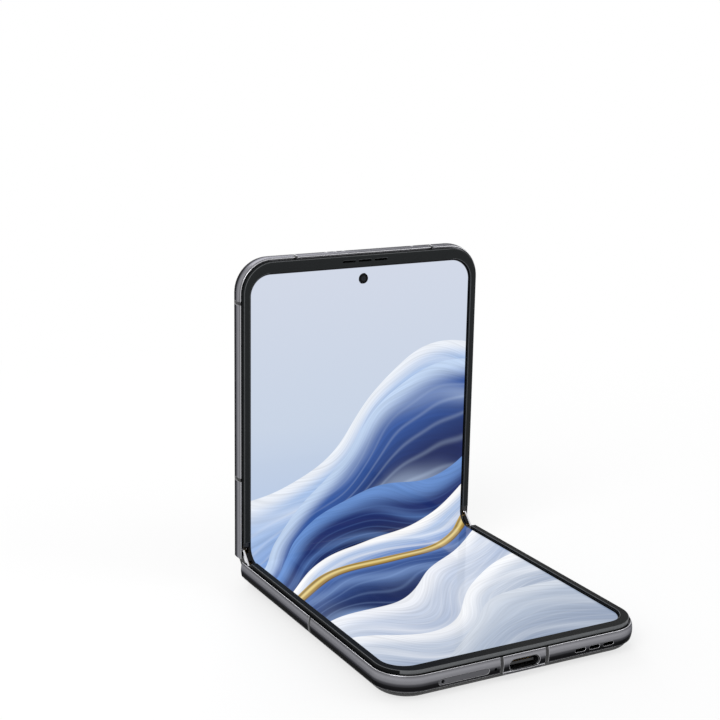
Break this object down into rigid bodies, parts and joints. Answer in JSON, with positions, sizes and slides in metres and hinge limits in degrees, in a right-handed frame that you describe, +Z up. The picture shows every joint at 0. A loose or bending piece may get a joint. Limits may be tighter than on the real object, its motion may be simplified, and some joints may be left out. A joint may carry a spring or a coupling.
{
  "type": "foldable smartphone",
  "caption": "Foldable smartphone with a geared two-shaft hinge, bendable inner screen, round outer screen, rear camera island and leather back.",
  "frame": {"origin": "middle of the lower half's flat back, on the surface it rests on, with the phone folded to a right angle", "axes": "+X across the phone, towards the keys and rear lenses; +Y from the lower half towards the hinge; +Z up, along the upper half"},
  "size_m": [0.0754, 0.094, 0.0916],
  "materials": {
    "graphite_metal": "satin anodised graphite",
    "antenna_plastic": "moulded insert",
    "back_plastic": "glass-filled moulding",
    "black_leather": "fine grained, matt",
    "bezel_plastic": "satin",
    "screen_film": "lit picture under clear film",
    "hinge_steel": "machined",
    "battery_foil": "pouch foil",
    "circuit_board": "solder mask",
    "seal_rubber": "soft, matt",
    "black_plastic": "moulded",
    "dark_screws": "blackened",
    "spine_metal": "satin anodised graphite",
    "polished_steel": "polished",
    "flex_film": "polyimide film",
    "ring_metal": "turned and anodised",
    "island_glass": "black printed glass",
    "lens_glass": "dark coated glass",
    "outer_display": "round lit display",
    "flash_lens": "frosted lens"
  },
  "bodies": {
    "lower_half": {"lower_frame": "graphite_metal", "lower_antenna_breaks": "antenna_plastic", "lower_back_panel": "back_plastic", "lower_leather": "black_leather", "lower_rail": "graphite_metal", "lower_bezel": "bezel_plastic", "lower_mid_plate": "hinge_steel", "screen_lower": "screen_film", "battery_lower": "battery_foil", "sub_board": "circuit_board", "usb_c_port": "hinge_steel", "sim_socket": "hinge_steel", "loudspeaker": "black_plastic", "microphone": "hinge_steel", "vibration_motor": "hinge_steel", "lower_hinge_arms": "hinge_steel", "lower_hinge_shafts": "hinge_steel", "lower_gears": "hinge_steel", "lower_screws": "dark_screws"},
    "spine": {"spine_cover": "spine_metal", "spine_end_plates": "polished_steel", "hinge_blocks": "hinge_steel", "friction_discs": "hinge_steel", "screen_fold": "screen_film", "fold_edge_seals": "seal_rubber", "hinge_flex": "flex_film"},
    "upper_half": {"upper_frame": "graphite_metal", "upper_antenna_breaks": "antenna_plastic", "upper_back_panel": "back_plastic", "upper_leather": "black_leather", "upper_rail": "graphite_metal", "upper_bezel": "bezel_plastic", "upper_mid_plate": "hinge_steel", "screen_upper": "screen_film", "battery_upper": "battery_foil", "main_board": "circuit_board", "shield_cans": "hinge_steel", "camera_trim": "graphite_metal", "camera_rings": "ring_metal", "camera_glass": "island_glass", "lens_covers": "lens_glass", "camera_housings": "hinge_steel", "flash_window": "flash_lens", "outer_screen": "outer_display", "front_camera": "black_plastic", "earpiece": "black_plastic", "key_switches": "circuit_board", "upper_hinge_arms": "hinge_steel", "upper_hinge_shafts": "hinge_steel", "upper_gears": "hinge_steel", "upper_screws": "dark_screws"},
    "sim_tray": {"sim_tray": "graphite_metal", "sim_tray_seal": "seal_rubber"},
    "vibration_mass": {"vibration_mass": "hinge_steel"},
    "idler_a": {"idler_gears_a": "hinge_steel"},
    "idler_b": {"idler_gears_b": "hinge_steel"},
    "main_lens": {"main_lens": "black_plastic"},
    "wide_lens": {"wide_lens": "black_plastic"},
    "power_key": {"power_key": "graphite_metal"},
    "volume_rocker": {"volume_rocker": "graphite_metal"}
  },
  "joints": [
    {"name": "hinge_lower", "type": "hinge", "parent": "lower_half", "child": "spine", "pos_m": [0, 0.03955, 0.0048], "axis": [1, 0, 0], "range_deg": [-45, 45], "deforming": ["screen_fold", "fold_edge_seals", "hinge_flex"]},
    {"name": "hinge_upper", "type": "hinge", "parent": "spine", "child": "upper_half", "pos_m": [0, 0.04408, 0.00932], "axis": [1, 0, 0], "range_deg": [-45, 45], "deforming": ["screen_fold", "fold_edge_seals", "hinge_flex"]},
    {"name": "idler_a_turn", "type": "hinge", "parent": "spine", "child": "idler_a", "pos_m": [0, 0.04106, 0.00631], "axis": [1, 0, 0], "range_deg": [-45, 45]},
    {"name": "idler_b_turn", "type": "hinge", "parent": "spine", "child": "idler_b", "pos_m": [0, 0.04257, 0.00782], "axis": [1, 0, 0], "range_deg": [-45, 45]},
    {"name": "sim_tray_slide", "type": "slide", "parent": "lower_half", "child": "sim_tray", "axis": [0, -1, 0], "range_m": [0, 0.024]},
    {"name": "vibration_shake", "type": "slide", "parent": "lower_half", "child": "vibration_mass", "axis": [0, 1, 0], "range_m": [-0.0004, 0.0004], "stiffness_N_per_m": 3000},
    {"name": "power_key_press", "type": "slide", "parent": "upper_half", "child": "power_key", "axis": [-1, 0, 0], "range_m": [0, 0.0003], "stiffness_N_per_m": 4000, "springref_m": -0.0001},
    {"name": "volume_rocker_tilt", "type": "hinge", "parent": "upper_half", "child": "volume_rocker", "pos_m": [0.036, 0.04428, 0.06212], "axis": [0, -1, 0], "range_deg": [-1.2, 1.2], "stiffness_Nm_per_rad": 0.3},
    {"name": "main_lens_focus", "type": "slide", "parent": "upper_half", "child": "main_lens", "axis": [0, 1, 0], "range_m": [0, 0.0003], "stiffness_N_per_m": 500},
    {"name": "wide_lens_focus", "type": "slide", "parent": "upper_half", "child": "wide_lens", "axis": [0, 1, 0], "range_m": [0, 0.0003], "stiffness_N_per_m": 500}
  ],
  "couplings": [
    {"joint": "hinge_upper", "follows": "hinge_lower", "ratio": 1},
    {"joint": "idler_a_turn", "follows": "hinge_lower", "ratio": 1},
    {"joint": "idler_b_turn", "follows": "hinge_lower", "ratio": -1}
  ]
}
